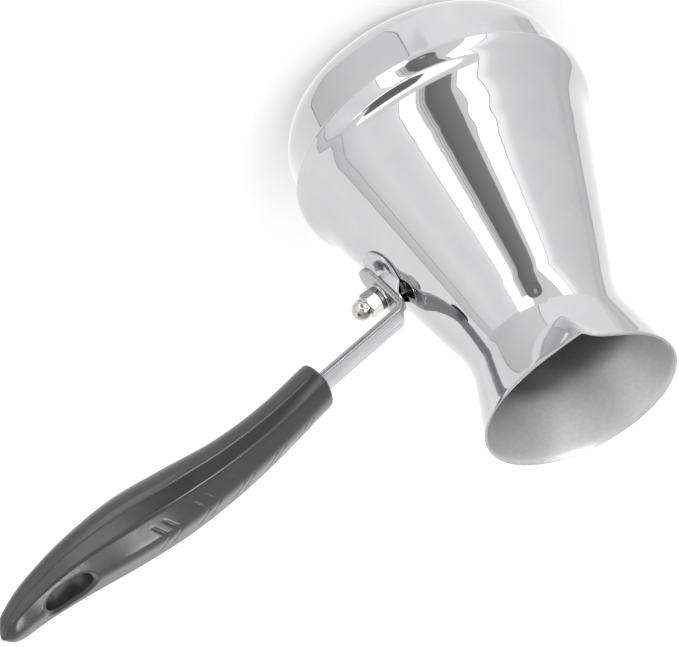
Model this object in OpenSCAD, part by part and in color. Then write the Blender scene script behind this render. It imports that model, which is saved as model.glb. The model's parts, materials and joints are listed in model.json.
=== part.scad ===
// Long-handled melting pot with a narrow neck and a pouring lip.
// The origin is the centre of the flat base, +Z is up, the handle points along +X and the lip along -Y.

/* [Pot] */
// Overall height of the pot, base to rim
pot_h = 144.5; // [135:0.5:160]
// Outside radius of the round mouth
mouth_r = 35; // [32:0.5:38]
// Thickness of the sheet
wall = 0.8; // [0.6:0.1:1.2]
// Radius of the belly where its side meets the crease
belly_r = 53.4; // [50:0.1:56]
// Radius of the rounded corner under the belly
base_corner = 15.5; // [10:0.5:18]
// Height of the crease between belly and bead
crease_z = 26.6; // [24:0.1:30]
// How far the bead stands out past the belly
bead_out = 2.5; // [2:0.1:3.4]
// How far the pouring lip stands out past the round mouth
lip_out = 7.9; // [4:0.1:10]
// Angle over which the lip fades out towards the handle
lip_fade_near = 20; // [10:1:24]
// Angle over which it fades out on the other side
lip_fade_far = 8; // [6:0.5:14]

/* [Bracket and stud] */
// Height of the stud's foot on the cone
stud_z = 76.5; // [70:0.5:82]
// Width of the bracket plate
plate_w = 21; // [18:0.5:24]
// Length of the bracket plate up the wall
plate_l = 25; // [22:0.5:30]
// Thickness of the bracket plate
plate_t = 1; // [0.8:0.1:1.2]
// Height of the boss face over the wall
boss_h = 3.2; // [2.8:0.1:4]
// Outside diameter of the stud's thread
stud_d = 5; // [5:0.5:6]

/* [Fasteners] */
// Width of the cap nut across its flats
nut_af = 8; // [8:0.5:10]
// Height of the cap nut
nut_h = 10; // [9:0.5:12]
// Outside diameter of the flat washer
washer_d = 10; // [9:0.5:12]
// Outside diameter of the spring washer
spring_d = 9; // [8.5:0.1:10]

/* [Handle arm] */
// Width of the flat bar
bar_w = 11.5; // [10:0.5:13]
// Thickness of the flat bar
bar_t = 2.2; // [1.8:0.1:3]
// Slope of the bar above level, after its bend
bar_slope = 22; // [18:0.5:26]
// Distance from the stud's axis down to the end of the tab
tab_down = 12; // [10:0.5:14]
// Distance from the stud's axis up to the corner of the bend
tab_up = 11.5; // [10.5:0.5:13]
// Length of bar hidden inside the grip
tang_l = 48; // [30:1:55]

/* [Grip] */
// Distance from the pot's axis to the mouth of the grip
grip_x = 78; // [74:0.5:84]
// Half width of the grip at its widest
grip_half_w = 13.5; // [12:0.1:15]
// Length of the hanging hole
hang_l = 18; // [14:0.5:20]
// Width of the hanging hole
hang_w = 12.5; // [9:0.5:14]

/* [Hidden] */
$fn = 96;
run_gap = 0.08;    // radial running clearance round the stud
face_gap = 0.05;   // clearance between stacked faces that turn on each other

// Pot outline, as corners [radius, height, fillet]
belly_lean = 1.4;
waist_r = 27;
waist_z = 114.6;
shoulder_r = 51.17;
shoulder_z = 39.2;
crease_fillet = 1.2;
bead_foot = 1.3;                                  // the bead is at its widest from this far above the crease
bead_foot_fillet = 1;
bead_rise = 5.87;                                 // its upper corner lies this far above the crease
bead_fillet = 10.9;
shoulder_fillet = 31;
waist_fillet = 22;
join_z = 121.5;                                   // where the lipped mouth starts
lip_at = 0.7;                                     // angle of the lip's point, from -Y towards the handle
lip_power = 2.4;                                  // the lip's growth with height
lip_round = 0.06;                                 // rounding of its point, as a share of the fade
join_r = waist_r + (join_z - waist_z) * (mouth_r - waist_r) / (pot_h - waist_z);
lap = 0.05;                                       // the mouth's wall laps over the body's by this much
lap_h = 1;                                        // and along this height
pot_corners = [
    [0, 0, 0],
    [belly_r - belly_lean, 0, base_corner],
    [belly_r, crease_z, crease_fillet],
    [belly_r + bead_out, crease_z + bead_foot, bead_foot_fillet],
    [belly_r + bead_out, crease_z + bead_rise, bead_fillet],
    [shoulder_r, shoulder_z, shoulder_fillet],
    [waist_r, waist_z, waist_fillet],
    [join_r + lap_h * (mouth_r - waist_r) / (pot_h - waist_z), join_z + lap_h, 0]
];
mouth_lean = atan((mouth_r - waist_r) / (pot_h - waist_z));
rim_wall = wall / cos(mouth_lean);                // level thickness of the leaning mouth wall

// The cone's lean, and the stud's foot on it
cone_lean = atan((shoulder_r - waist_r) / (waist_z - shoulder_z));
foot_r = shoulder_r - (stud_z - shoulder_z) * tan(cone_lean);
plate_shift = 3;                                  // the plate's middle lies this far below the stud
plate_narrow = 0.62;                              // its upper half width as a share of the lower one
skin_reach = 30;                                  // length of the wall's cone used above and below the stud
boss_top_r = 5.6;
boss_foot_r = 7.2;
head_r = 4;
head_t = 1.8;

// Heights along the stud's axis, from the wall outwards
tab_z = boss_h + face_gap;
washer_z = tab_z + bar_t + face_gap;
washer_t = 1;
spring_z = washer_z + washer_t + face_gap;
spring_t = 1.2;
nut_z = spring_z + spring_t + face_gap;
nut_hex_h = 4.6;
dome_r = 3.75;
thread_l = 7;                                     // length of thread inside the nut
thread_room = 0.4;                                // the nut's bore goes this much deeper than the thread
nut_chamfer = 0.2;                                // how far the nut's corners are turned in at the top
nut_flare = 3.4;
neck_r = 3.6;
bore_r = stud_d / 2 + run_gap;

// Bar: its side view, as corners [x, z, fillet] of the face towards the pot and over the top
wall_out = [cos(cone_lean), sin(cone_lean)];      // away from the wall, in the XZ plane
wall_up = [-sin(cone_lean), cos(cone_lean)];
bar_dir = [cos(bar_slope), sin(bar_slope)];
tab_foot = [foot_r, stud_z] + tab_z * wall_out;
bend = tab_foot + tab_up * wall_up;
tang_end = bend + ((grip_x + tang_l - bend[0]) / bar_dir[0]) * bar_dir;
bend_r = 4;
tang_gap = 0.05;
notch_r = 1.6;                                    // notches that lock the tang into the moulded grip
notch_at = [16, 30];                              // their distances past the mouth of the grip

// Grip: stations [x, height of its middle, half width, up, down], from its mouth to its tip
grip_stations = [
    [grip_x, 103.2, 9.6, 6.8, 8.0],
    [97, 112.0, 0.76 * grip_half_w, 7.4, 7.9],
    [116, 119.2, 0.87 * grip_half_w, 8.2, 8.7],
    [136, 124.6, 0.985 * grip_half_w, 9.4, 10.6],
    [155, 128.8, grip_half_w, 9.4, 11.1],
    [174, 134.0, 0.9 * grip_half_w, 7.5, 9.0],
    [189, 139.8, 0.71 * grip_half_w, 5.6, 7.0],
    [198, 144.6, 0.56 * grip_half_w, 4.2, 5.2],
    [201.8, 146.9, 0.38 * grip_half_w, 3.1, 3.7],
    [204, 148.2, 1.2, 0.8, 1.0]
];
grip_steps = 4;                                   // rings between two stations
grip_sides = 28;
roof_power = 0.72;                                // below 1 squares the outline: more so above the widest line
belly_power = 0.9;
hang_x = 181;
hang_z = 136.6;
hang_tilt = 21;

// ---- outline helpers ----
arc_step = 9;                                     // degrees between the points of a fillet

function unit(v) = v / norm(v);
function turn(a, b, c) = let (u = unit(b - a), v = unit(c - b)) atan2(u[0] * v[1] - u[1] * v[0], u * v);
function flat(p) = [p[0], p[1]];

// Points of the arc that rounds corner b between a and c
function arc_at(a, b, c, r) = let (
        u = unit(b - a), v = unit(c - b), t = turn(a, b, c), s = sign(t),
        centre = b - u * r * tan(abs(t) / 2) + s * r * [-u[1], u[0]],
        from = atan2(-s * u[0], s * u[1]),
        n = max(3, ceil(abs(t) / arc_step))
    ) [for (i = [0 : n]) centre + r * [cos(from + i * t / n), sin(from + i * t / n)]];

// An outline with every corner rounded by its own fillet
function rounded(k) = [for (i = [0 : len(k) - 1])
    each (i == 0 || i == len(k) - 1 || k[i][2] == 0) ? [flat(k[i])]
        : arc_at(flat(k[i - 1]), flat(k[i]), flat(k[i + 1]), k[i][2])];

// The same corners moved d to the left of the outline, fillets to match
function shifted(k, d) = [for (i = [0 : len(k) - 1]) let (
        b = flat(k[i]),
        u = i == 0 ? unit(flat(k[1]) - b) : unit(b - flat(k[i - 1])),
        v = i == len(k) - 1 ? u : unit(flat(k[i + 1]) - b),
        m = [-u[1] - v[1], u[0] + v[0]] / (1 + u * v),
        bent = i > 0 && i < len(k) - 1,
        s = bent ? sign(turn(flat(k[i - 1]), b, flat(k[i + 1]))) : 0
    ) [b[0] + d * m[0], b[1] + d * m[1], bent ? k[i][2] - s * d : 0]];

function reversed(p) = [for (i = [len(p) - 1 : -1 : 0]) p[i]];

// Smooth curve through a list of stations
function spline(p, i, t) = let (
        a = p[max(i - 1, 0)], b = p[i], c = p[i + 1], d = p[min(i + 2, len(p) - 1)]
    ) ((2 * b) + (c - a) * t + (2 * a - 5 * b + 4 * c - d) * t * t + (3 * b - a - 3 * c + d) * t * t * t) / 2;

// Closed solid through a list of rings with the same number of points
module loft(rings) {
    n = len(rings[0]);
    m = len(rings);
    sides = [for (i = [0 : m - 2], j = [0 : n - 1])
        each [[i * n + j, i * n + (j + 1) % n, (i + 1) * n + (j + 1) % n],
              [i * n + j, (i + 1) * n + (j + 1) % n, (i + 1) * n + j]]];
    start = [[for (j = [n - 1 : -1 : 0]) j]];
    end = [[for (j = [0 : n - 1]) (m - 1) * n + j]];
    polyhedron(points = [for (r = rings) each r], faces = concat(start, sides, end), convexity = 8);
}

// Puts children on the wall with +Z along the stud and +X down the wall
module at_stud() {
    translate([foot_r, 0, stud_z]) rotate([0, 90 - cone_lean, 0]) children();
}

// ---- pot ----
// How far the lip pulls the wall outwards, by angle from -Y and by height
function lip(a, z) =
    let (f = max(0, (z - join_z) / (pot_h - join_z)),
         fade = a < lip_at ? lip_fade_far : lip_fade_near)
    lip_out * pow(f, lip_power) * exp(lip_round - norm([(a - lip_at) / fade, lip_round]));

function mouth_ring(z, inset, n) = let (r = join_r + (z - join_z) * tan(mouth_lean) - inset)
    [for (j = [0 : n - 1]) let (a = j * 360 / n, d = a > 180 ? a - 360 : a)
        (r + lip(d, z)) * [sin(a), -cos(a), 0] + [0, 0, z]];

// Mouth as one wall: up the outside, over the rim and down the inside
module lipped_mouth() {
    n = 120;
    rows = 8;
    outer = [for (i = [0 : rows]) mouth_ring(join_z + (pot_h - join_z) * i / rows, -lap, n)];
    inner = [for (i = [rows : -1 : 0]) mouth_ring(join_z + (pot_h - join_z) * i / rows, rim_wall + lap, n)];
    rings = concat(outer, inner);
    m = len(rings);
    polyhedron(
        points = [for (r = rings) each r],
        faces = [for (i = [0 : m - 1], j = [0 : n - 1]) let (k = (i + 1) % m)
            each [[i * n + j, k * n + j, k * n + (j + 1) % n],
                  [i * n + j, k * n + (j + 1) % n, i * n + (j + 1) % n]]],
        convexity = 8);
}

module pot_body() {
    color("silver") {
        outer = rounded(pot_corners);
        inner_corners = shifted(pot_corners, wall);
        last = len(inner_corners) - 1;
        top = pot_corners[last];
        inner = rounded([for (i = [0 : last]) i < last ? inner_corners[i] : [top[0] - rim_wall, top[1], 0]]);
        rotate_extrude() polygon(concat(outer, reversed(inner)));
        lipped_mouth();
    }
}

// ---- bracket ----
// Outline of the plate seen along the stud: broad below, narrower above
module plate_outline() {
    broad = plate_w / 2;
    narrow = plate_narrow * broad;
    translate([plate_shift, 0]) union() {
        translate([plate_l / 2 - broad, 0]) circle(broad);
        translate([narrow - plate_l / 2, 0]) circle(narrow);
        polygon([[plate_l / 2 - broad, -broad], [plate_l / 2 - broad, broad],
                 [narrow - plate_l / 2, narrow], [narrow - plate_l / 2, -narrow]]);
    }
}

// Cone-shaped shell that hugs the wall, t thick
module wall_skin(t) {
    low = stud_z - skin_reach;
    high = stud_z + skin_reach;
    low_r = foot_r + skin_reach * tan(cone_lean);
    high_r = foot_r - skin_reach * tan(cone_lean);
    out = t / cos(cone_lean);
    rotate_extrude() polygon([[low_r, low], [low_r + out, low], [high_r + out, high], [high_r, high]]);
}

module inside_wall() {
    spread = skin_reach * tan(cone_lean);
    translate([0, 0, stud_z - skin_reach])
        cylinder(h = 2 * skin_reach, r1 = foot_r + spread, r2 = foot_r - spread);
}

module handle_bracket() {
    depth = 16;
    below = 4;                                    // the pocket for the stud's head starts this far inside
    color("lightgray") difference() {
        union() {
            intersection() {
                wall_skin(plate_t);
                at_stud() translate([0, 0, -depth / 2]) linear_extrude(depth) plate_outline();
            }
            difference() {
                at_stud() translate([0, 0, -1]) cylinder(h = boss_h + 1, r1 = boss_foot_r, r2 = boss_top_r);
                inside_wall();
            }
        }
        at_stud() translate([0, 0, -below]) cylinder(h = boss_h - plate_t + below, r = head_r + run_gap);
        at_stud() cylinder(h = boss_h + 1, r = bore_r);
    }
}

module stud() {
    color("silver") at_stud() {
        translate([0, 0, boss_h - plate_t - head_t - face_gap]) cylinder(h = head_t, r = head_r);
        cylinder(h = nut_z + thread_l, r = stud_d / 2);
    }
}

// ---- fasteners ----
module ring(z, h, d) {
    translate([0, 0, z]) difference() {
        cylinder(h = h, r = d / 2);
        translate([0, 0, -1]) cylinder(h = h + 2, r = bore_r);
    }
}

module flat_washer() {
    color("gainsboro") at_stud() ring(washer_z, washer_t, washer_d);
}

// Split ring; the cut faces the side of the lip
module spring_washer() {
    split = 0.8;
    color("darkgray") at_stud() difference() {
        ring(spring_z, spring_t, spring_d);
        translate([-split / 2, -spring_d, spring_z - 1]) cube([split, spring_d, spring_t + 2]);
    }
}

module cap_nut() {
    hex_r = nut_af / 2 / cos(30);
    dome_z = nut_h - dome_r;
    color("silver") at_stud() translate([0, 0, nut_z]) difference() {
        union() {
            intersection() {
                cylinder(h = nut_hex_h, r = hex_r, $fn = 6);
                cylinder(h = nut_hex_h, r1 = nut_af / 2 + nut_flare, r2 = nut_af / 2 - nut_chamfer);
            }
            cylinder(h = dome_z, r = neck_r);
            translate([0, 0, dome_z]) intersection() {
                sphere(dome_r);
                cylinder(h = dome_r + 1, r = dome_r + 1);
            }
        }
        translate([0, 0, -1]) cylinder(h = 1 + thread_l + thread_room, r = bore_r);
    }
}

// ---- handle ----
function bar_corners() = [
    [tab_foot[0] - tab_down * wall_up[0], tab_foot[1] - tab_down * wall_up[1], 0],
    [bend[0], bend[1], bend_r],
    [tang_end[0], tang_end[1], 0]
];

module bar_side() {
    top = bar_corners();
    polygon(concat(rounded(top), reversed(rounded(shifted(top, -bar_t)))));
}

module handle_arm() {
    half = bar_w / 2;
    color("silver") difference() {
        rotate([90, 0, 0]) linear_extrude(bar_w, center = true) bar_side();
        // round end of the tab
        at_stud() translate([tab_down - half, 0, tab_z - 1]) difference() {
            translate([0, -half - 1, 0]) cube([half + 1, bar_w + 2, bar_t + 2]);
            translate([0, 0, -1]) cylinder(h = bar_t + 4, r = half);
        }
        at_stud() cylinder(h = nut_z + 1, r = bore_r);
        for (side = [-1, 1], along = notch_at)
            translate([grip_x + along, side * half, tang_end[1] - (tang_l - along) * tan(bar_slope)])
                rotate([0, -bar_slope, 0])
                    translate([0, 0, -bar_t]) cylinder(h = 3 * bar_t, r = notch_r, center = true);
    }
}

// One ring of the grip: rounded belly below its widest line, flatter above it
function grip_ring(s, slope) = [for (j = [0 : grip_sides - 1]) let (
        a = j * 360 / grip_sides,
        up = sin(a) >= 0,
        p = up ? roof_power : belly_power,
        y = s[2] * sign(cos(a)) * pow(abs(cos(a)), p),
        n = (up ? s[3] : s[4]) * sign(sin(a)) * pow(abs(sin(a)), p)
    ) [s[0] - n * sin(slope), y, s[1] + n * cos(slope)]];

function grip_at(i, t) = spline(grip_stations, i, t);

function grip_slope(i, t) = let (
        a = grip_at(i, max(t - 0.05, 0)), b = grip_at(i, min(t + 0.05, 1))
    ) atan2(b[1] - a[1], b[0] - a[0]);

module grip_body() {
    last = len(grip_stations) - 2;
    loft([for (i = [0 : last], j = [0 : i == last ? grip_steps : grip_steps - 1])
        let (t = j / grip_steps) grip_ring(grip_at(i, t), i == 0 && j == 0 ? bar_slope : grip_slope(i, t))]);
}

module hang_hole() {
    deep = 40;
    translate([hang_x, 0, hang_z]) rotate([0, -hang_tilt, 0]) translate([0, 0, -deep / 2])
        for (end = [-1, 1]) translate([end * (hang_l - hang_w) / 2, 0, 0]) cylinder(h = deep, r = hang_w / 2);
    translate([hang_x, 0, hang_z]) rotate([0, -hang_tilt, 0])
        cube([hang_l - hang_w, hang_w, deep], center = true);
}

module tang_pocket() {
    rotate([90, 0, 0]) linear_extrude(bar_w + 2 * tang_gap, center = true)
        polygon([for (s = [[-4, tang_gap], [tang_l + 1, tang_gap], [tang_l + 1, -bar_t - tang_gap],
                           [-4, -bar_t - tang_gap]])
            tang_end + (s[0] - tang_l) / cos(bar_slope) * bar_dir + s[1] * [-bar_dir[1], bar_dir[0]]]);
}

module grip() {
    color("dimgray") difference() {
        grip_body();
        hang_hole();
        tang_pocket();
    }
}

pot_body();
handle_bracket();
stud();
flat_washer();
spring_washer();
cap_nut();
handle_arm();
grip();
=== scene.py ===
import bpy
import bmesh
import json
import math
import numpy as np
from mathutils import Matrix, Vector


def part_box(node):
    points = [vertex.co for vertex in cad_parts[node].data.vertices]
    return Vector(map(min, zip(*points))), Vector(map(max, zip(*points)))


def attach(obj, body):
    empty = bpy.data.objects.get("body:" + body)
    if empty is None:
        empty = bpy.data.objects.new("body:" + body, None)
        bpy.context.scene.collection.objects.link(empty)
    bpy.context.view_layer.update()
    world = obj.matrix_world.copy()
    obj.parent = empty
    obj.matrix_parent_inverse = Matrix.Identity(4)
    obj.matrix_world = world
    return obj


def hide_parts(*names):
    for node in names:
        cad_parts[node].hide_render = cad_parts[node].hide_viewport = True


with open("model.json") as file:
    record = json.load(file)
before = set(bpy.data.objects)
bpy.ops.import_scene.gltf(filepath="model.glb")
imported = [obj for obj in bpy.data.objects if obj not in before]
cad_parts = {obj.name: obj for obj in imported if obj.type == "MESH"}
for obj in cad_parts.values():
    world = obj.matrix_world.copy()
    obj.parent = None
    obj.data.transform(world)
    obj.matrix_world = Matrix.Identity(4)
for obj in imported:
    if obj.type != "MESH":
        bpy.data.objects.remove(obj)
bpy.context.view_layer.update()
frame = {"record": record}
mm = 0.001
mergeWithin = 1e-7       # metres, under which two points are one
bodies = frame["record"]["behaviour"]["bodies"]
bodyOf = {node: body for body, nodes in bodies.items() for node in nodes}
potLow, potHigh = (np.array(corner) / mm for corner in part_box("pot_body"))
print("frame loaded, pot", (potHigh - potLow).round(1), "mm")

# sizes are in mm and angles in degrees; this is the stud's axis, which the fasteners and the bracket
# share, with heights along it from the pot's wall
studAt = {
    "footR": 39.21,        # radius of the cone where the stud stands
    "footZ": 76.5,         # its height
    "lean": 17.775,        # the cone's lean in degrees, which is the stud's rise
    "radius": 2.5,
    "bossFace": 3.2,       # flat face of the bracket's boss
    "tabFace": 3.25,       # near face of the arm's tab
    "washerFace": 5.5,
    "springFace": 6.55,
    "nutFace": 7.8,
}


def hexColour(code):
    # sRGB hex to linear light
    c = np.array([int(code[i:i + 2], 16) for i in (1, 3, 5)]) / 255
    c = np.where(c <= 0.04045, c / 12.92, ((c + 0.055) / 1.055) ** 2.4)
    return (*c.tolist(), 1.0)


def addNode(tree, kind, inputs=(), stops=(), **settings):
    # one node with its settings, its inputs and, on a colour ramp, its (place, colour) stops;
    # an input is a value, a socket, or a node that feeds it by its first output
    node = tree.nodes.new(kind)
    for key, value in settings.items():
        setattr(node, key, value)
    for key, value in inputs.items() if isinstance(inputs, dict) else enumerate(inputs):
        if isinstance(value, bpy.types.Node):
            value = value.outputs[0]
        if isinstance(value, bpy.types.NodeSocket):
            tree.links.new(value, node.inputs[key])
        else:
            node.inputs[key].default_value = value
    while stops and len(node.color_ramp.elements) < len(stops):
        node.color_ramp.elements.new(0.5)
    for (place, colour), element in zip(stops, node.color_ramp.elements if stops else ()):
        element.position = place
        element.color = colour
    return node


def newMaterial(name):
    # an empty material, its tree, and the position on the piece in metres
    mat = bpy.data.materials.new(name)
    mat.use_nodes = True
    tree = mat.node_tree
    tree.nodes.clear()
    return mat, tree, addNode(tree, "ShaderNodeTexCoord").outputs["Object"]


def perMetre(size):
    # pattern scale for features of this size in mm
    return 1 / (size * mm)


def addObject(name, data):
    thing = bpy.data.objects.new(name, data)
    bpy.context.scene.collection.objects.link(thing)
    return thing


def stand(thing, x, y, z, at):
    # a lamp or a camera placed by its three axes and its position in metres
    turn = np.eye(4)
    turn[:3] = np.stack([x, y, z, at], -1)
    thing.matrix_world = Matrix(turn.tolist())


def closedMesh(name, grid, wrapRows=False, materials=(), materialIndex=None):
    # mesh of a grid in mm, with quads between neighbouring points, that wraps round its columns;
    # points on the same spot are merged, which closes seams and poles, and faces are turned outwards
    rows, cols = grid.shape[:2]
    i, j = np.arange(rows if wrapRows else rows - 1)[:, None], np.arange(cols)
    nextI, nextJ = (i + 1) % rows, (j + 1) % cols
    quads = np.stack([i * cols + j, i * cols + nextJ, nextI * cols + nextJ, nextI * cols + j], -1)
    mesh = bpy.data.meshes.new(name)
    mesh.from_pydata(grid.reshape(-1, 3) * mm, [], quads.reshape(-1, 4))
    for material in materials:
        mesh.materials.append(material)
    if materialIndex is not None:
        mesh.polygons.foreach_set("material_index", materialIndex)
    work = bmesh.new()
    work.from_mesh(mesh)
    bmesh.ops.remove_doubles(work, verts=work.verts, dist=mergeWithin)
    bmesh.ops.recalc_face_normals(work, faces=work.faces)
    work.to_mesh(mesh)
    work.free()
    return mesh


def smoothExcept(mesh, sharp):
    # smooth shading, with edges kept sharp from this many degrees on
    mesh.shade_smooth()
    mesh.set_sharp_from_angle(angle=math.radians(sharp))


def makePiece(name, node, grid, materials, sharp, wrapRows=False, materialIndex=None):
    # a finished piece that replaces its CAD node and moves with that node's body
    mesh = closedMesh(name, grid, wrapRows, materials, materialIndex)
    smoothExcept(mesh, sharp)
    piece = addObject(name, mesh)
    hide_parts(node)
    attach(piece, bodyOf[node])
    print("made", name, len(mesh.polygons), "faces")
    return piece


def cutWith(piece, cutters, sharp):
    # takes closed cutter meshes out of the piece, for real
    for mesh in cutters:
        cutter = addObject("cutter", mesh)
        step = piece.modifiers.new("cut", "BOOLEAN")
        step.operation = "DIFFERENCE"
        step.solver = "EXACT"
        step.object = cutter
        graph = bpy.context.evaluated_depsgraph_get()
        result = bpy.data.meshes.new_from_object(piece.evaluated_get(graph))
        piece.modifiers.clear()
        piece.data = result
        bpy.data.objects.remove(cutter)
    smoothExcept(piece.data, sharp)
    print("cut", piece.name, len(piece.data.polygons), "faces")


def smoothStep(x, low, high):
    # 0 below low, 1 above high, with a smooth rise between them
    t = np.clip((x - low) / (high - low), 0, 1)
    return t * t * (3 - 2 * t)


def pathLengths(path):
    # length along the path up to each of its points
    return np.concatenate([[0], np.cumsum(np.linalg.norm(np.diff(path, axis=0), axis=1))])


def unitRows(rows):
    return rows / np.linalg.norm(rows, axis=1)[:, None]


def fullTurn(count):
    return np.linspace(0, 2 * math.pi, count, endpoint=False)


def spun(r, z, phi):
    # points at radius r and height z, turned about Z by each angle phi
    return np.stack(np.broadcast_arrays(r * np.cos(phi), r * np.sin(phi), z + 0 * phi), -1)


def filletPath(corners, stepDeg=4.0, spacing=2.5):
    # a path through [x, y, fillet] corners: arcs every stepDeg, straights every spacing
    pts = [np.array(corners[0][:2], float)[None]]
    for before, corner, after in zip(corners[:-2], corners[1:-1], corners[2:]):
        a, b, c = (np.array(k[:2], float) for k in (before, corner, after))
        u, v = (b - a) / np.linalg.norm(b - a), (c - b) / np.linalg.norm(c - b)
        turn = math.atan2(u[0] * v[1] - u[1] * v[0], u @ v)
        side = math.copysign(1, turn)
        back = corner[2] * math.tan(abs(turn) / 2)
        centre = b - u * back + side * corner[2] * np.array([-u[1], u[0]])
        first = math.atan2(-side * u[0], side * u[1])
        angle = first + np.linspace(0, turn, max(4, round(abs(math.degrees(turn)) / stepDeg)) + 1)
        pts.append(centre + corner[2] * np.stack([np.cos(angle), np.sin(angle)], -1))
    pts.append(np.array(corners[-1][:2], float)[None])
    rough = np.concatenate(pts)
    gaps = np.linalg.norm(np.diff(rough, axis=0), axis=1)
    count = np.maximum(1, np.ceil(gaps / spacing)).astype(int)
    place = np.concatenate([i + np.arange(n) / n for i, n in enumerate(count)] + [[len(count)]])
    return np.stack([np.interp(place, np.arange(len(rough)), rough[:, k]) for k in (0, 1)], -1)


def shiftedCorners(corners, d):
    # the same corners moved d to the left of the path, with fillets to match
    out = []
    for i, corner in enumerate(corners):
        b = np.array(corner[:2], float)
        u = b - np.array(corners[max(i - 1, 0)][:2]) if i else np.array(corners[1][:2]) - b
        v = np.array(corners[i + 1][:2]) - b if i < len(corners) - 1 else u
        u, v = u / np.linalg.norm(u), v / np.linalg.norm(v)
        move = np.array([-u[1] - v[1], u[0] + v[0]]) / (1 + u @ v)
        side = np.sign(round(u[0] * v[1] - u[1] * v[0], 9))
        out.append([*(b + d * move), corner[2] - side * d if corner[2] else 0])
    return out


def atStud(p):
    # local frame at the stud's foot (x down the wall, y, z outwards) to the part's frame
    a = math.radians(studAt["lean"])
    x, y, z = p[..., 0], p[..., 1], p[..., 2]
    return np.stack([studAt["footR"] + x * math.sin(a) + z * math.cos(a), y,
                     studAt["footZ"] - x * math.cos(a) + z * math.sin(a)], -1)


def wallHeight(x, y):
    # where the cone's surface lies over its tangent plane at the stud's foot
    a = math.radians(studAt["lean"])
    c, s = math.cos(a), math.sin(a)
    r = studAt["footR"] + x * s
    return c * (np.sqrt(r * r - (c * c - s * s) * y * y) - r) / (c * c - s * s)


def finishShader(tree, inputs):
    shader = addNode(tree, "ShaderNodeBsdfPrincipled", inputs)
    addNode(tree, "ShaderNodeOutputMaterial", {"Surface": shader})


def mirrorPolishedSteel():
    # 18/10 stainless, spun and buffed to a mirror: reads as its surroundings, a fifth darker,
    # with faint rings from the lathe and a film of handling marks that softens some patches
    mat, tree, where = newMaterial("mirrorPolishedSteel")
    rings = addNode(tree, "ShaderNodeMapping", {     # 0.7 mm apart, and long as they run round
        "Vector": where, "Scale": (perMetre(167), perMetre(167), perMetre(0.714))})
    ringNoise = addNode(tree, "ShaderNodeTexNoise", {
        "Vector": rings, "Scale": 1.0, "Detail": 3.0, "Roughness": 0.6})
    film = addNode(tree, "ShaderNodeTexNoise", {
        "Vector": where, "Scale": perMetre(22.2), "Detail": 6.0, "Roughness": 0.62, "Distortion": 0.6})
    rough = addNode(tree, "ShaderNodeMapRange", {
        "Value": film, "From Min": 0.35, "From Max": 0.75, "To Min": 0.035, "To Max": 0.085})
    tint = addNode(tree, "ShaderNodeValToRGB", {"Fac": film},
                   [(0.3, hexColour("#cfcfd0")), (0.7, hexColour("#c8c8ca"))])
    bump = addNode(tree, "ShaderNodeBump", {
        "Height": ringNoise, "Strength": 0.05, "Distance": 0.04 * mm})
    finishShader(tree, {"Base Color": tint, "Metallic": 1.0, "Roughness": rough, "Normal": bump})
    return mat


def satinDrawnSteel():
    # the unbuffed inside: even grey, mottled by short blasting and wiping marks that blur highlights
    mat, tree, where = newMaterial("satinDrawnSteel")
    marks = addNode(tree, "ShaderNodeMapping", {
        "Vector": where, "Scale": (perMetre(2), perMetre(2), perMetre(1.11))})
    markNoise = addNode(tree, "ShaderNodeTexNoise", {
        "Vector": marks, "Scale": 1.0, "Detail": 5.0, "Roughness": 0.7})
    blotch = addNode(tree, "ShaderNodeTexNoise", {
        "Vector": where, "Scale": perMetre(11.1), "Detail": 5.0})
    rough = addNode(tree, "ShaderNodeMapRange", {
        "Value": blotch, "From Min": 0.3, "From Max": 0.7, "To Min": 0.34, "To Max": 0.48})
    tint = addNode(tree, "ShaderNodeValToRGB", {"Fac": markNoise},
                   [(0.3, hexColour("#cfcfd0")), (0.7, hexColour("#dcdcdc"))])
    bump = addNode(tree, "ShaderNodeBump", {
        "Height": markNoise, "Strength": 0.25, "Distance": 0.05 * mm})
    finishShader(tree, {"Base Color": tint, "Metallic": 1.0, "Roughness": rough, "Normal": bump})
    return mat


def brightPlatedSteel(name, base, low, high):
    # plated or pressed steel between two tints, its roughness from low to high: bright, with tool
    # marks and small dull patches
    mat, tree, where = newMaterial(name)
    marks = addNode(tree, "ShaderNodeTexNoise", {
        "Vector": where, "Scale": perMetre(1.11), "Detail": 4.0})
    patch = addNode(tree, "ShaderNodeTexNoise", {
        "Vector": where, "Scale": perMetre(3.85), "Detail": 3.0})
    rough = addNode(tree, "ShaderNodeMapRange", {
        "Value": patch, "From Min": 0.3, "From Max": 0.7, "To Min": low, "To Max": high})
    tint = addNode(tree, "ShaderNodeValToRGB", {"Fac": marks},
                   [(0.3, hexColour(base[0])), (0.75, hexColour(base[1]))])
    bump = addNode(tree, "ShaderNodeBump", {"Height": marks, "Strength": 0.12, "Distance": 0.05 * mm})
    finishShader(tree, {"Base Color": tint, "Metallic": 1.0, "Roughness": rough, "Normal": bump})
    return mat


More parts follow.
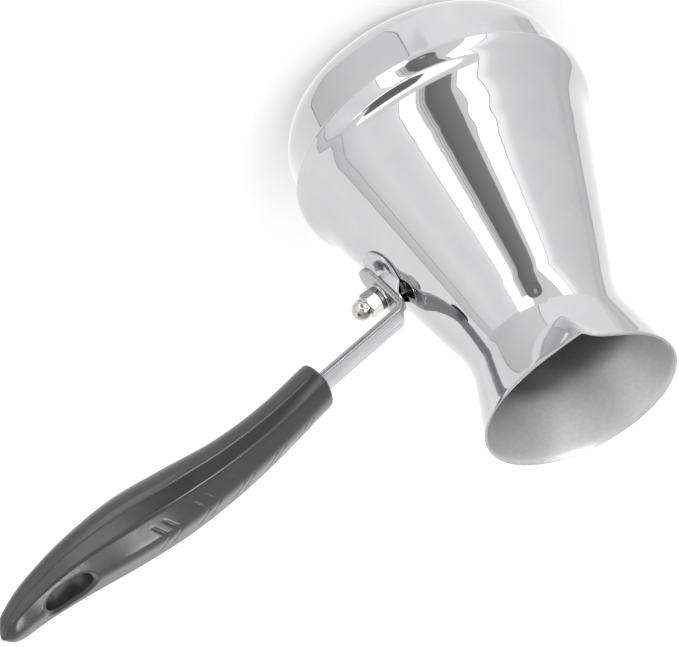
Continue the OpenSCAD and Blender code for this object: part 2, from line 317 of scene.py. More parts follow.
def rolledBarSteel(slope):
    # satin rolled strip: fine lines along the bar pull its reflections across it
    mat, tree, where = newMaterial("rolledBarSteel")
    along = addNode(tree, "ShaderNodeMapping", {"Vector": where, "Rotation": (0, slope, 0)})
    lines = addNode(tree, "ShaderNodeMapping", {     # 0.45 mm apart, coarse enough to show
        "Vector": along, "Scale": (perMetre(33.3), perMetre(0.4545), perMetre(0.4545))})
    noise = addNode(tree, "ShaderNodeTexNoise", {
        "Vector": lines, "Scale": 1.0, "Detail": 4.0, "Roughness": 0.65})
    cloud = addNode(tree, "ShaderNodeTexNoise", {
        "Vector": where, "Scale": perMetre(6.67), "Detail": 3.0})
    rough = addNode(tree, "ShaderNodeMapRange", {
        "Value": cloud, "From Min": 0.3, "From Max": 0.7, "To Min": 0.2, "To Max": 0.33})
    tint = addNode(tree, "ShaderNodeValToRGB", {"Fac": noise},
                   [(0.3, hexColour("#a2a2a4")), (0.7, hexColour("#c4c4c6"))])
    bump = addNode(tree, "ShaderNodeBump", {"Height": noise, "Strength": 0.25, "Distance": 0.04 * mm})
    finishShader(tree, {"Base Color": tint, "Metallic": 1.0, "Roughness": rough, "Normal": bump})
    return mat


def mouldedPhenolic():
    # compression-moulded phenolic, grey-black and glossy, with a slight orange peel,
    # a paler flow cloud here and there and patches that handling has dulled a little
    mat, tree, where = newMaterial("mouldedPhenolic")
    cloud = addNode(tree, "ShaderNodeTexNoise", {
        "Vector": where, "Scale": perMetre(28.6), "Detail": 5.0, "Roughness": 0.6})
    peel = addNode(tree, "ShaderNodeTexNoise", {
        "Vector": where, "Scale": perMetre(1.43), "Detail": 2.0})
    speck = addNode(tree, "ShaderNodeTexVoronoi", {"Vector": where, "Scale": perMetre(2.38)},
                    feature="F1", distance="EUCLIDEAN")
    scuff = addNode(tree, "ShaderNodeTexNoise", {
        "Vector": where, "Scale": perMetre(4.17), "Detail": 6.0, "Roughness": 0.7, "Distortion": 0.4})
    tint = addNode(tree, "ShaderNodeValToRGB", {"Fac": cloud},
                   [(0.3, hexColour("#29292b")), (0.7, hexColour("#303032"))])
    rough = addNode(tree, "ShaderNodeMapRange", {
        "Value": scuff, "From Min": 0.35, "From Max": 0.75, "To Min": 0.15, "To Max": 0.24})
    height = addNode(tree, "ShaderNodeMath", (speck, 0.08, peel), operation="MULTIPLY_ADD")
    bump = addNode(tree, "ShaderNodeBump", {"Height": height, "Strength": 0.12, "Distance": 0.08 * mm})
    finishShader(tree, {"Base Color": tint, "Roughness": rough, "IOR": 1.7, "Normal": bump})
    return mat


barSlope = math.radians(22)      # the bar's rise away from the pot
steelOutside = mirrorPolishedSteel()
steelInside = satinDrawnSteel()
# the pressed bracket is buffed less than the pot, so reflections blur on it
bracketSteel = brightPlatedSteel("pressedPolishedSteel", ("#bfbfc1", "#d0d0d1"), 0.1, 0.22)
# nickel plate on the stud, washer and nut has a warm white shine
nickel = brightPlatedSteel("brightNickelPlate", ("#c2c0bd", "#d6d4d1"), 0.06, 0.16)
# the spring washer's hardened steel is darker, with no clear reflections
springSteel = brightPlatedSteel("dullSpringSteel", ("#77787b", "#949598"), 0.25, 0.4)
barSteel = rolledBarSteel(barSlope)
phenolic = mouldedPhenolic()
print("materials made")

# the pot, one spun shell
pot = {
    # outside, from the middle of the base to the mouth: [radius, height, fillet]
    "corners": [[0, 0, 0], [52, 0, 15.5], [53.4, 26.6, 1.2], [55.9, 27.9, 1.0],
                [55.9, 32.47, 10.9], [51.17, 39.2, 31], [27, 114.6, 32], [35, 144.5, 0]],
    "wall": 0.8,
    "sides": 320,
    "crowding": 0.55,      # how much closer together the sides stand at the lip
    "lipOut": 7.9,         # how far the lip stands out
    "lipAt": 0.7,          # degrees from -Y to its point
    "lipSpread": (8.0, 20.0),      # degrees over which it fades, away from the handle and towards it
    "lipFoot": 121.5,      # height where it starts
    "lipPower": 2.4,       # how late it grows with the height
    "lipRound": 0.06,      # rounding of its point, as a share of the spread
    "fineWave": 0.0072,    # depth of the waves that the spinning tool leaves
    "finePitch": 1.9,      # their height for each radian
    "fineDrift": (1.3, 7.0),       # how far that pitch wanders, and over what height
    "shoulderWave": 0.05,  # deeper waves where the cone runs into the bead
    "shoulderPitch": 1.55,
    "shoulderSway": (0.6, 0.7),    # how far they drift round the pot, and where
    "shoulderAt": (52.0, 9.0),     # their height, and how far they reach
    "waveFrom": (42.0, 48.0),      # heights between which waves set in
    "waveTo": (105.0, 118.0),      # and die out
    "oval": 0.12,          # how far the cone is out of round
    "ovalTurn": 0.5,
    "ovalFrom": (30.0, 60.0),
}


def lipPull(angle, z, spec):
    # outward pull of the lip: grows ever faster with height, and fades on both sides of its point
    up = np.clip((z - spec["lipFoot"]) / (spec["corners"][-1][1] - spec["lipFoot"]), 0, 1)
    off = np.degrees(angle) - spec["lipAt"]
    fade = np.where(off < 0, *spec["lipSpread"])
    peak = spec["lipRound"]
    return spec["lipOut"] * up ** spec["lipPower"] * np.exp(peak - np.hypot(off, peak * fade) / fade)


def spinWaves(z, angle, spec):
    # shallow rings of uneven pitch, strongest just above the bead, that drift round the pot
    wander, slow = spec["fineDrift"]
    sway, start = spec["shoulderSway"]
    middle, reach = spec["shoulderAt"]
    fine = spec["fineWave"] * np.sin(z / spec["finePitch"] + wander * np.sin(z / slow))
    deep = spec["shoulderWave"] * np.sin(z / spec["shoulderPitch"] + sway * np.sin(2 * angle + start))
    waves = fine * smoothStep(z, *spec["waveFrom"]) + deep * np.exp(-((z - middle) / reach) ** 2)
    oval = spec["oval"] * np.cos(2 * angle + spec["ovalTurn"]) * smoothStep(z, *spec["ovalFrom"])
    return waves * (1 - smoothStep(z, *spec["waveTo"])) + oval


def potPiece(spec):
    # outline up the outside, half round over the rim, and down the inside, spun about Z
    corners = spec["corners"]
    lean = math.atan2(corners[-1][0] - corners[-2][0], corners[-1][1] - corners[-2][1])
    half = spec["wall"] / 2
    outer = filletPath(corners, 3.0, 1.6)
    inner = filletPath(shiftedCorners(corners, spec["wall"]), 4.0, 2.4)[::-1]
    tip = np.array([corners[-1][0] - half * math.cos(lean), corners[-1][1] - half])
    bend = np.linspace(0, math.pi - 2 * lean, 7)
    rim = tip + half * np.stack([np.cos(bend), np.sin(bend)], -1)
    top = corners[-1][1] - half - 0.2       # walls stop just short of the rim's round
    outer, inner = (wall[wall[:, 1] < top] for wall in (outer, inner))
    profile = np.concatenate([outer, rim, inner])
    profile[0, 0] = profile[-1, 0] = 0
    profile = np.maximum(profile, 0)
    turn = np.linspace(-math.pi, math.pi, spec["sides"], endpoint=False)
    angle = turn - spec["crowding"] * np.sin(turn)         # from the lip's side, -Y
    r, z = profile[:, :1], profile[:, 1:]
    pull = lipPull(angle, z, spec) + spinWaves(z, angle, spec)
    r = r + pull * smoothStep(r, 0, 20)         # none at the middle of the base
    row = np.repeat(np.arange(len(profile) - 1), spec["sides"])
    inside = row >= len(outer) + 4          # from just past the top of the rim
    makePiece("potShell", "pot_body", spun(r, z, angle - math.pi / 2),
              [steelOutside, steelInside], sharp=60, materialIndex=inside.astype(np.int32))


potPiece(pot)

# the bracket, a pressed plate welded to the cone
bracket = {
    "broad": 10.5,         # half width low down
    "narrow": 6.6,         # half width at the top
    "low": 15.5,           # reach below the stud
    "high": 9.5,           # reach above it
    "plate": 1.0,
    "edge": 0.35,          # rounding of its edge
    "seat": 0.02,          # gap to the pot's wall
    "boreGap": 0.08,       # gap round the stud
    "bossTop": 5.6,        # radius of the boss's flat face
    "bossFoot": 7.6,       # radius where it meets the plate
    "lift": 0.15,          # how far its upper end stands off the wall
    "liftFrom": (3.0, 9.0),        # heights over the stud between which it lifts
    "welds": [(2.8, -8.1), (2.8, 8.1), (12.6, 0.4)],     # weld dimples, (down, across)
    "weldR": 1.5,
    "weldDeep": 0.4,
    "weldLip": 0.12,       # height of the ring pushed up round a dimple
    "weldLipAt": (1.35, 0.25),     # its radius and half width, in dimple radii
    "sides": 144,
    "rings": 46,
}


def bracketPiece(spec):
    # polar grid round the stud: top face, rounded edge and underside, closed at the bore
    phi = fullTurn(spec["sides"])
    lowMid, highMid = spec["low"] - spec["broad"], spec["narrow"] - spec["high"]
    # outline: the farthest point, along each direction, of round discs between broad and narrow
    share = np.linspace(0, 1, 60)[:, None]
    mid = highMid + (lowMid - highMid) * share
    rad = spec["narrow"] + (spec["broad"] - spec["narrow"]) * share
    reach = mid * np.cos(phi) + np.sqrt(np.maximum(rad ** 2 - (mid * np.sin(phi)) ** 2, 0))
    reach = np.where(rad >= np.abs(mid * np.sin(phi)), reach, 0).max(0) - spec["edge"]
    hole = studAt["radius"] + spec["boreGap"]
    lipAt, lipWide = spec["weldLipAt"]

    def surface(rho, depth):
        # depth runs from 0 on the top face to 1 on the underside
        x, y = rho * np.cos(phi), rho * np.sin(phi)
        spine = np.hypot(np.maximum(x, 0), y)      # distance from the stud, or the line above it
        boss = 1 - smoothStep(spine, spec["bossTop"], spec["bossFoot"])
        skin = wallHeight(x, y) + spec["plate"] + spec["lift"] * smoothStep(-x, *spec["liftFrom"])
        top = skin + boss * (studAt["bossFace"] - skin)
        for down, across in spec["welds"]:
            d = np.hypot(x - down, y - across) / spec["weldR"]
            ring = spec["weldLip"] * np.exp(-((d - lipAt) / lipWide) ** 2)
            top = top - spec["weldDeep"] * np.exp(-d ** 4) + ring
        under = np.maximum(wallHeight(x, y) + spec["seat"], top - spec["plate"])
        return np.stack([x, y, top + (under - top) * depth], -1)

    out = [hole + (reach - hole) * t for t in np.linspace(0, 1, spec["rings"])]
    rows = [surface(rho, 0) for rho in out]
    for t in np.linspace(0, math.pi, 7)[1:-1]:
        rows.append(surface(reach + spec["edge"] * math.sin(t), (1 - math.cos(t)) / 2))
    rows += [surface(rho, 1) for rho in out[::-1]]
    makePiece("bracketPlate", "handle_bracket", atStud(np.array(rows)), [bracketSteel],
              sharp=50, wrapRows=True)


bracketPiece(bracket)

# stud, washers and cap nut of an M5 thread
fasteners = {
    "pitch": 0.8,
    "threadDeep": 0.44,
    "threadCut": (2.6, 0.15),      # steepness of the thread's flanks, and the flat left on its crest
    "studEnd": 14.8,
    "studTip": 0.6,        # chamfer of its tip
    "headR": 4.0,
    "headLow": 0.35,
    "headHigh": 2.15,
    "headEdge": (0.4, 0.3),        # chamfers of the head, wall side and far side
    "washerR": 5.0,
    "washerT": 1.0,
    "washerEdge": (0.08, 0.3, 0.2),        # roundings: below, outer top, inner top
    "springR": 4.5,
    "springT": 1.2,
    "springEdge": 0.15,
    "springGap": 5.0,      # degrees of the split
    "bore": 2.58,
    "flats": 8.0,          # nut across flats
    "hexHigh": 4.6,
    "hexCorner": 29.2,     # degrees from a flat's middle to where its corner is blunted
    "hexChamfer": (0.05, 1.6),     # depth of the turned chamfers, and their rise
    "neckR": 3.45,
    "domeR": 3.75,
    "domeFrom": -16,       # degrees below its middle where the dome leaves the neck
    "nutHigh": 10.0,
    "nutDeep": 8.2,
    "nutMouth": (3.1, 0.4),        # radius and depth of the countersink
    "nutThread": (0.1, 0.264),     # gap to the bore, and depth
    "drillTip": 0.8,
}


def threadWave(angle, z, spec):
    # sixty degree thread: a triangle wave that climbs one pitch a turn, cut flat at crest and root
    steep, flat = spec["threadCut"]
    phase = (z / spec["pitch"] - angle / (2 * math.pi)) % 1
    return np.clip(np.abs(phase - 0.5) * steep - flat, 0, 1)


def studPiece(spec):
    # outline of the head spun about the stud's axis, then threaded rows up to a chamfered tip
    phi = fullTurn(40)
    z = np.arange(spec["headHigh"], spec["studEnd"], spec["pitch"] / 9)[:, None]
    r = studAt["radius"] - spec["threadDeep"] * threadWave(phi, z, spec)
    r = np.minimum(r, studAt["radius"] - spec["studTip"] + (z[-1] - z))
    headR, low, high = spec["headR"], spec["headLow"], spec["headHigh"]
    near, far = spec["headEdge"]
    head = np.array([[0, low], [headR - near, low], [headR, low + near], [headR, high - far],
                     [headR - far, high]])
    grid = np.concatenate([spun(head[:, :1], head[:, 1:], phi), spun(r, z, phi), spun(0, z[-1:], phi)])
    makePiece("threadedStud", "stud", atStud(grid), [nickel], sharp=25)


def washerPiece(spec):
    # outline of a stamped ring, rolled over on top and sharper below, spun about the stud's axis
    a, b, low = spec["bore"], spec["washerR"], studAt["washerFace"]
    high = low + spec["washerT"]
    below, outerTop, innerTop = spec["washerEdge"]
    start = [a + 0.5, low, 0]
    ring = filletPath([start, [b, low, below], [b, high, outerTop], [a, high, innerTop],
                       [a, low, below], start], 15, 0.6)[:-1]
    grid = spun(ring[:, :1], ring[:, 1:], fullTurn(96))
    makePiece("flatWasher", "flat_washer", atStud(grid), [nickel], sharp=40, wrapRows=True)


def springPiece(spec):
    # one coil of square wire, almost flat under the nut, with its split towards the lip
    a, b, low = spec["bore"] + 0.05, spec["springR"], studAt["springFace"]
    high, edge, gap = low + spec["springT"], spec["springEdge"], math.radians(spec["springGap"])
    start = [a + 0.6, low, 0]
    wire = filletPath([start, [b, low, edge], [b, high, edge], [a, high, edge], [a, low, edge],
                       start], 20, 0.7)[:-1]
    phi = np.linspace(-math.pi / 2 + gap / 2, 1.5 * math.pi - gap / 2, 120)
    phi = np.pad(phi, 1, "edge")[:, None]
    size = np.pad(np.ones(120), 1)[:, None]        # the wire's first and last rows close to a point
    r, z = (k.mean() + (k - k.mean()) * size for k in wire.T)
    grid = atStud(spun(r, z, phi))
    makePiece("springWasher", "spring_washer", grid, [springSteel], sharp=40)


def nutPiece(spec):
    # rows from the drilled hole's end, down its thread, up the hexagon with its chamfers, then a
    # collar and a dome
    flat, high, corner = spec["flats"] / 2, spec["hexHigh"], spec["hexCorner"]
    fan = np.array([-30, -corner, -28, -24, -16, -8, 0, 8, 16, 24, 28, corner])    # closer at corners
    phi = np.radians((np.arange(6)[:, None] * 60 + fan).ravel())
    hexR = flat / np.cos(np.radians(np.tile(fan, 6)))
    hexR = np.minimum(hexR, flat / math.cos(math.radians(corner)))
    z = np.array([0, 0.08, 0.2, 0.35, 0.6, 1.2, 2.2, 3.2, 3.9, 4.15, 4.3, 4.45, 4.55, high])[:, None]
    face, rise = spec["hexChamfer"]
    r = np.minimum(np.minimum(hexR, flat + face + rise * z), flat - face + rise * (high - z))
    body = spun(r, z, phi)
    domeZ = spec["nutHigh"] - spec["domeR"]
    neck = filletPath([[flat - 0.1, high, 0], [spec["neckR"], high, 0.3],
                       [spec["neckR"], domeZ - 0.9, 0]], 12, 0.4)[1:]
    up = np.radians(np.linspace(spec["domeFrom"], 90, 30))
    dome = np.stack([spec["domeR"] * np.cos(up), domeZ + spec["domeR"] * np.sin(up)], -1)
    cap = np.concatenate([neck, dome])
    cap[-1, 0] = 0
    gap, deep = spec["nutThread"]
    mouthR, mouthDeep = spec["nutMouth"]
    z = np.arange(spec["nutDeep"], mouthDeep, -spec["pitch"] / 7)[:, None]
    hole = spun(spec["bore"] + gap + deep * threadWave(phi, z + studAt["nutFace"], spec), z, phi)
    floor = spun(0, spec["nutDeep"] + spec["drillTip"], phi)[None]
    mouth = spun(mouthR, 0, phi)[None]
    grid = np.concatenate([floor, hole, mouth, body, spun(cap[:, :1], cap[:, 1:], phi)])
    grid[..., 2] += studAt["nutFace"]
    makePiece("capNut", "cap_nut", atStud(grid), [nickel], sharp=24)


studPiece(fasteners)
washerPiece(fasteners)
springPiece(fasteners)
nutPiece(fasteners)

# the handle's arm, a bent flat bar
arm = {
    "width": 11.5,
    "thick": 2.2,
    "edge": 0.55,          # rounding of its long edges
    "tabDown": 12.0,       # tab's reach below the stud
    "tabUp": 11.5,         # height of the bend's corner over the stud
    "bendR": 4.0,
    "tangEnd": 126.0,      # where the tang ends inside the grip, from the pot's axis
    "notchAt": (94.0, 108.0),      # notches that lock the tang in the grip
    "notchR": 1.6,
}


def armLine(spec):
    # the bar's middle line as [x, z]: up the tab, round the bend, and out to the tang's end
    a = math.radians(studAt["lean"])
    out, up = np.array([math.cos(a), math.sin(a)]), np.array([-math.sin(a), math.cos(a)])
    foot = np.array([studAt["footR"], studAt["footZ"]]) + studAt["tabFace"] * out
    start, bend = foot - spec["tabDown"] * up, foot + spec["tabUp"] * up
    end = bend + (spec["tangEnd"] - bend[0]) * np.array([1, math.tan(barSlope)])
    corners = [[*start, 0], [*bend, spec["bendR"]], [*end, 0]]       # of the face towards the pot
    return filletPath(shiftedCorners(corners, -spec["thick"] / 2), 4.0, 1.0)


def armPiece(spec):
    # rounded rectangle carried along the bar's middle line; the tab's end narrows as a half circle
    half, t, edge = spec["width"] / 2, spec["thick"] / 2, spec["edge"]
    line = armLine(spec)
    lengths = pathLengths(line)
    roundEnd = half * (1 - np.cos(np.linspace(0, math.pi / 2, 26)))
    s = np.concatenate([roundEnd, lengths[lengths > half + 0.2]])
    mid = np.stack([np.interp(s, lengths, line[:, k]) for k in (0, 1)], -1)
    way = unitRows(np.gradient(mid, s, axis=0))
    way[:20] = way[20]         # the round end is straight
    width = np.where(s < half, np.sqrt(np.maximum(half ** 2 - (half - s) ** 2, 0)), half)
    for x in spec["notchAt"]:
        d = np.abs(mid[:, 0] - x) / math.cos(barSlope)
        width = width - np.sqrt(np.maximum(spec["notchR"] ** 2 - d ** 2, 0))
    # four rounded corners, counted round from (1, 1): each point's signs, and its place on the round
    side, face = (np.repeat(signs, 6) for signs in ([1, -1, -1, 1], [1, 1, -1, -1]))
    turn = (np.arange(24) // 6 + np.arange(24) % 6 / 5) * math.pi / 2
    roundY, roundN = np.cos(turn), np.sin(turn)
    r = np.minimum(edge, width)[:, None]
    y = side * (width[:, None] - r) + roundY * r
    n = face * (t - edge) + roundN * edge
    grid = np.stack([mid[:, :1] - n * way[:, 1:], y, mid[:, 1:] + n * way[:, :1]], -1)
    first, last = (np.repeat(row.mean(0)[None], len(side), 0)[None] for row in (grid[0], grid[-1]))
    grid = np.concatenate([first, grid, last])
    piece = makePiece("handleBar", "handle_arm", grid, [barSteel], sharp=50)
    z = np.array([studAt["tabFace"] - 1] * 2 + [studAt["washerFace"] + 1] * 2)[:, None]
    r = np.array([0, fasteners["bore"], fasteners["bore"], 0])[:, None]
    cutWith(piece, [closedMesh("boreCut", atStud(spun(r, z, fullTurn(48))))], sharp=50)


armPiece(arm)

# the moulded grip
grip = {
    # from its mouth to its tip: [x, height of its middle, half width, up, down, roof]
    "stations": [[78.0, 103.2, 9.6, 6.8, 8.0, 0.25], [97.0, 112.0, 10.26, 7.4, 7.9, 0.8],
                 [116.0, 119.2, 11.75, 8.2, 8.7, 1.0], [136.0, 124.6, 13.3, 9.4, 10.6, 1.0],
                 [155.0, 128.8, 13.5, 9.4, 11.1, 1.0], [174.0, 134.0, 12.15, 7.5, 9.0, 1.0],
                 [189.0, 139.8, 9.6, 5.6, 7.0, 0.95], [198.0, 144.6, 7.6, 4.2, 5.2, 0.8],
                 [201.8, 146.9, 5.15, 3.1, 3.7, 0.5], [204.0, 148.2, 1.2, 0.8, 1.0, 0.2]],
    "rows": 420,
    "cols": 190,
    "topShare": 0.64,      # share of a row's points that lie over the parting line
    "crowding": 0.12,      # how much closer together they stand at the parting line
    "ovalPower": 0.85,     # under 1 makes the oval fuller
    "roof": [[1, 0, 0], [0.985, 0.68, 0.13], [0, 1.01, 0.8], [-0.985, 0.68, 0.13], [-1, 0, 0]],
    # x of each chevron groove's point, in pairs
    "chevronAt": (86.7, 89.8, 98.9, 102.4, 111.5, 115.6, 125.1, 129.5, 139.9, 144.2),
    "chevronRake": 0.55,   # how far a leg falls back for each mm across
    "chevronReach": (9.4, 6.4),    # half width where a leg ends, and where it starts to fade
    "chevronTop": (0.55, 0.7),     # share of the height over which grooves set in
    "grooveDeep": 0.2,
    "grooveWide": 0.4,
    "seam": 0.2,           # height and half width of the parting line
    "seamFrom": (79.0, 84.0),      # x over which it sets in behind the mouth
    "mouthRound": 1.1,     # rounding of the mouth's edge
    "tipOut": 0.6,         # how far the tip's last point stands out
    "holeX": 181.0,
    "holeZ": 136.6,
    "holeTilt": 21.0,
    "holeLong": 18.0,
    "holeWide": 12.5,
    "holeRim": 1.3,        # how deep the hole's rounded rim dips
    "rimFrom": (-0.2, 1.6),        # distance from the hole's edge over which it does
    "slotDeep": 3.0,       # how far the tang's slot reaches in, see slotCutter
    "slotGap": 0.12,       # its gap to the bar
}


def smoothStations(stations, t):
    # curve through the stations, each column on its own, with t counted in stations
    p = np.array(stations)
    i = np.clip(t.astype(int), 0, len(p) - 2)
    f = (t - i)[:, None]
    a, b, c, d = p[np.maximum(i - 1, 0)], p[i], p[i + 1], p[np.minimum(i + 2, len(p) - 1)]
    square, cube = 2 * a - 5 * b + 4 * c - d, 3 * b - a - 3 * c + d
    return (2 * b + (c - a) * f + square * f ** 2 + cube * f ** 3) / 2


def gripRing(spec):
    # unit outline from +y over the top and back underneath: a plain oval and a roofed one to blend
    top = round(spec["cols"] * spec["topShare"])
    near = [u - spec["crowding"] * np.sin(2 * math.pi * u)
            for u in (np.arange(n) / n for n in (top, spec["cols"] - top))]
    angle = math.pi * np.concatenate([near[0], 1 + near[1]])
    oval = np.stack([np.cos(angle), np.sin(angle)], -1)
    oval = np.sign(oval) * np.abs(oval) ** spec["ovalPower"]
    roof = filletPath(spec["roof"], 3, 0.02)
    length = pathLengths(roof)
    roofed = oval.copy()
    roofed[:top] = np.stack([np.interp(near[0] * length[-1], length, roof[:, k]) for k in (0, 1)], -1)
    return oval, roofed


def gripPiece(spec):
    # unit outlines scaled station by station and set square to the grip's curve; grooves, seam and
    # the rounded rim of the hanging hole are then pressed in along the outline's own normals
    t = np.linspace(0, len(spec["stations"]) - 1, spec["rows"])
    st = smoothStations(spec["stations"], t)
    x, height, halfWide, upper, lower, blend = st.T[:, :, None]
    way = np.gradient(st[:, :2], axis=0)
    way[0] = [math.cos(barSlope), math.sin(barSlope)]
    way = unitRows(way)
    oval, roofed = gripRing(spec)
    across, up = np.moveaxis(oval * (1 - blend[..., None]) + roofed * blend[..., None], -1, 0)
    y = across * halfWide
    n = up * np.where(up >= 0, upper, lower)
    # each row's own normals, in its plane
    dy, dn = (np.roll(k, -1, 1) - np.roll(k, 1, 1) for k in (y, n))
    size = np.maximum(np.hypot(dy, dn), 1e-9)
    end, fade = spec["chevronReach"]
    onTop = smoothStep(up, *spec["chevronTop"]) * smoothStep(-np.abs(y), -end, -fade)
    press = 0
    for start in spec["chevronAt"]:
        d = (x - start - spec["chevronRake"] * np.abs(y)) * math.cos(math.atan(spec["chevronRake"]))
        press = press - spec["grooveDeep"] * np.exp(-(d / spec["grooveWide"]) ** 2) * onTop
    seam = spec["seam"] * np.exp(-(n / spec["seam"]) ** 2) * (np.abs(across) > 0.6)
    press = press + seam * smoothStep(x, *spec["seamFrom"])
    y, n = y + dn / size * press, n - dy / size * press
    grid = np.stack([x - n * way[:, 1:], y, height + n * way[:, :1]], -1)
    # the rim of the hanging hole falls away towards the hole
    tilt = math.radians(spec["holeTilt"])
    along = (grid[..., 0] - spec["holeX"]) * math.cos(tilt)
    along = along + (grid[..., 2] - spec["holeZ"]) * math.sin(tilt)
    reach = (spec["holeLong"] - spec["holeWide"]) / 2
    away = np.hypot(np.maximum(np.abs(along) - reach, 0), grid[..., 1]) - spec["holeWide"] / 2
    dip = spec["holeRim"] * (1 - smoothStep(away, *spec["rimFrom"])) ** 1.5
    dip = dip * np.sign(up) * np.abs(up) ** 0.5
    grid[..., 0] += dip * way[:, 1:]
    grid[..., 2] -= dip * way[:, :1]
    # rounded mouth with its flat end face, and the tip
    middle = np.array([st[0, 0], 0, st[0, 1]])
    lead, tipWay = (np.array([way[k, 0], 0, way[k, 1]]) for k in (0, -1))
    edge = spec["mouthRound"]
    lip = []
    for a in np.linspace(0, math.pi / 2, 7)[:-1]:
        shrink = 1 - edge * (1 - math.sin(a)) / st[0, 2]
        lip.append(middle + (grid[0] - middle) * shrink - lead * edge * math.cos(a))
    cap = [middle + (lip[0] - middle) * f for f in (0, 0.5)]
    cap = [row - lead * ((row - middle) @ lead + edge)[:, None] for row in cap]
    tip = np.repeat((grid[-1].mean(0) + tipWay * spec["tipOut"])[None], spec["cols"], 0)
    full = np.concatenate([cap, lip, grid, tip[None]])
    piece = makePiece("mouldedGrip", "grip", full, [phenolic], sharp=40)
    cutWith(piece, [holeCutter(spec), slotCutter(spec)], sharp=40)


def holeCutter(spec):
    # oblong prism along the hole, closed by a point at each end
    turn = fullTurn(72)
    r, reach = spec["holeWide"] / 2, (spec["holeLong"] - spec["holeWide"]) / 2
    x, y = r * np.cos(turn) + reach * np.sign(np.cos(turn)), r * np.sin(turn)
    z = np.array([-30, -30, 30, 30])[:, None]          # well past the grip on both sides
    f = np.array([0, 1, 1, 0])[:, None]
    c, s = math.cos(math.radians(spec["holeTilt"])), math.sin(math.radians(spec["holeTilt"]))
    x, y, z = spec["holeX"] + f * x * c - z * s, f * y, spec["holeZ"] + f * x * s + z * c
    return closedMesh("holeCut", np.stack([x, y, z], -1))


def slotCutter(spec):
    # a box along the bar, closed by a point at each end; meant as the slot at the mouth, but the 20
    # points kept here start at x 108, so it cuts a hidden cavity there and no slot
    line = armLine(arm)[-20:]
    at = np.array([np.interp(spec["stations"][0][0], line[:, 0], line[:, k]) for k in (0, 1)])
    c, s = math.cos(barSlope), math.sin(barSlope)
    w, h = arm["width"] / 2 + spec["slotGap"], arm["thick"] / 2 + spec["slotGap"]
    along = np.array([-4, -4, spec["slotDeep"], spec["slotDeep"]])[:, None]
    y, n = np.array([0, 1, 1, 0])[:, None] * np.array([[w, -w, -w, w], [h, h, -h, -h]])[:, None]
    x, z = at[0] + along * c - n * s, at[1] + along * s + n * c
    return closedMesh("slotCut", np.stack([x, y, z], -1))


gripPiece(grip)

# floor, light tent and lamps
studio = {
    "air": 1.0,            # strength of the white world, which lights all that isn't mirror-like
    "floor": "#f4f4f4",
    "floorGlow": 0.12,     # a faint glow of its own keeps it pale
    "floorHalf": 4.0,      # half its side, in metres
    "floorGap": 0.2,       # how far it lies under the pot, in mm
    "tentAt": (50, 0, 70),
    "tentR": 500,
    "lamp": 7.0,           # strength of the softboxes
    "white": 1.9,          # strength of the lit panels in the wall, which the steel shows as white
    "steel": "#cbcbcc",    # the steel's own tint, taken off the greys below
    # panels of the tent round the pot: azimuth in degrees, and the grey that the steel shows for it
    # (0 to 255), or "white" for a lit panel
    "front": [(-180, 191), (-160, 197), (-140, 204), (-133, 210), (-127, 236), (-123.4, 242),
              (-122.8, "white"), (-108.2, "white"), (-107.6, 205), (-105.2, 196), (-104.6, 124),
              (-94, 112), (-86, 100), (-83.8, 106), (-83.2, 186), (-77.2, 204), (-76.2, "white"),
              (-63, "white"), (-62, 226), (-57, 214), (-45, 209), (-28, 212), (-15, 204)],
    "back": [(-15, 204), (-8, 195), (-1, 186), (1.6, 186), (2.2, 212), (30, 212), (62, 204), (90, 212),
             (110, 220), (121, 238), (127, 234), (134, 220), (150, 215),
             (163, 213), (164, 176), (171, 189), (174, 183), (180, 191)],
    "low": [(-180, 211), (-130, 217), (-93, 216), (-92, 200), (-60, 198), (-10, 184), (4, 182),
            (5, 205), (60, 214), (110, 220), (150, 216), (180, 211)],
    "lowTop": -38.0,       # height of the low panels' upper edge, in degrees
    "lowEnd": -69.0,       # and of their lower edge
    "under": 210,          # grey below them
    "ceiling": 165,
    "ceilingFrom": (20.0, 34.0),     # heights between which the wall turns into the ceiling
    "slant": 0.4,          # degrees a panel's edge leans for each degree of height over the horizon
    "splitAt": -104.0,     # left of this the panels spread below the horizon
    "splitTo": -106.5,     # and they stay left of this
    "split": 0.6,          # degrees they spread for each degree of depth
    # dark piping between panels
    "seams": [-123.6, -107.9, -106.2, -82.0, -79.9, -76.8, -62.4, -8.6, 1.9, 163.4],
    "seamHalf": 0.24,      # half its width in degrees
    "lowSeams": [-92.6, 4.6],
    "lowSeamHalf": 0.48,
    "seamGrey": 118,
    # cards hung in the tent, each over the ones before: azimuth, half width, height, half height,
    # lean in degrees a degree, squareness (2 is an oval) and light
    "cards": [(-84, 47, 20.5, 6.5, 0, 12, 205), (-82, 44, 23, 4, 2.5, 8, "white"),
              (-69, 24, 25.5, 3.2, 2.5, 6, 95), (-97, 12, -33, 9, 0, 8, 198),
              (-75.5, 12.5, -32, 8.5, 0, 12, "white"),
              (-94.5, 10.5, -21, 10, 0, 2.5, 108), (-96, 2.4, -23, 4, 0, 2, 150),
              (-121, 13, 47, 10, 0, 8, "lamp"), (97, 5, 55, 3, 0, 4, "lamp")],
    # soft boxes: their place and what they face, in metres, and their power
    "lights": {"keyLight": [(-0.6, -1.3, 1.3), (0.05, 0, 0.06), 7],
               "fillLight": [(1.4, -0.6, 1.2), (0.1, 0, 0.08), 5]},
    "lightSize": 1.0,
}


def matteWhitePaint():
    # flat white backdrop paint: no highlight of its own, only soft shadows
    mat, tree, _ = newMaterial("matteWhitePaint")
    colour = hexColour(studio["floor"])
    finishShader(tree, {"Base Color": colour, "Roughness": 0.6, "Emission Color": colour,
                        "Emission Strength": studio["floorGlow"]})
    return mat


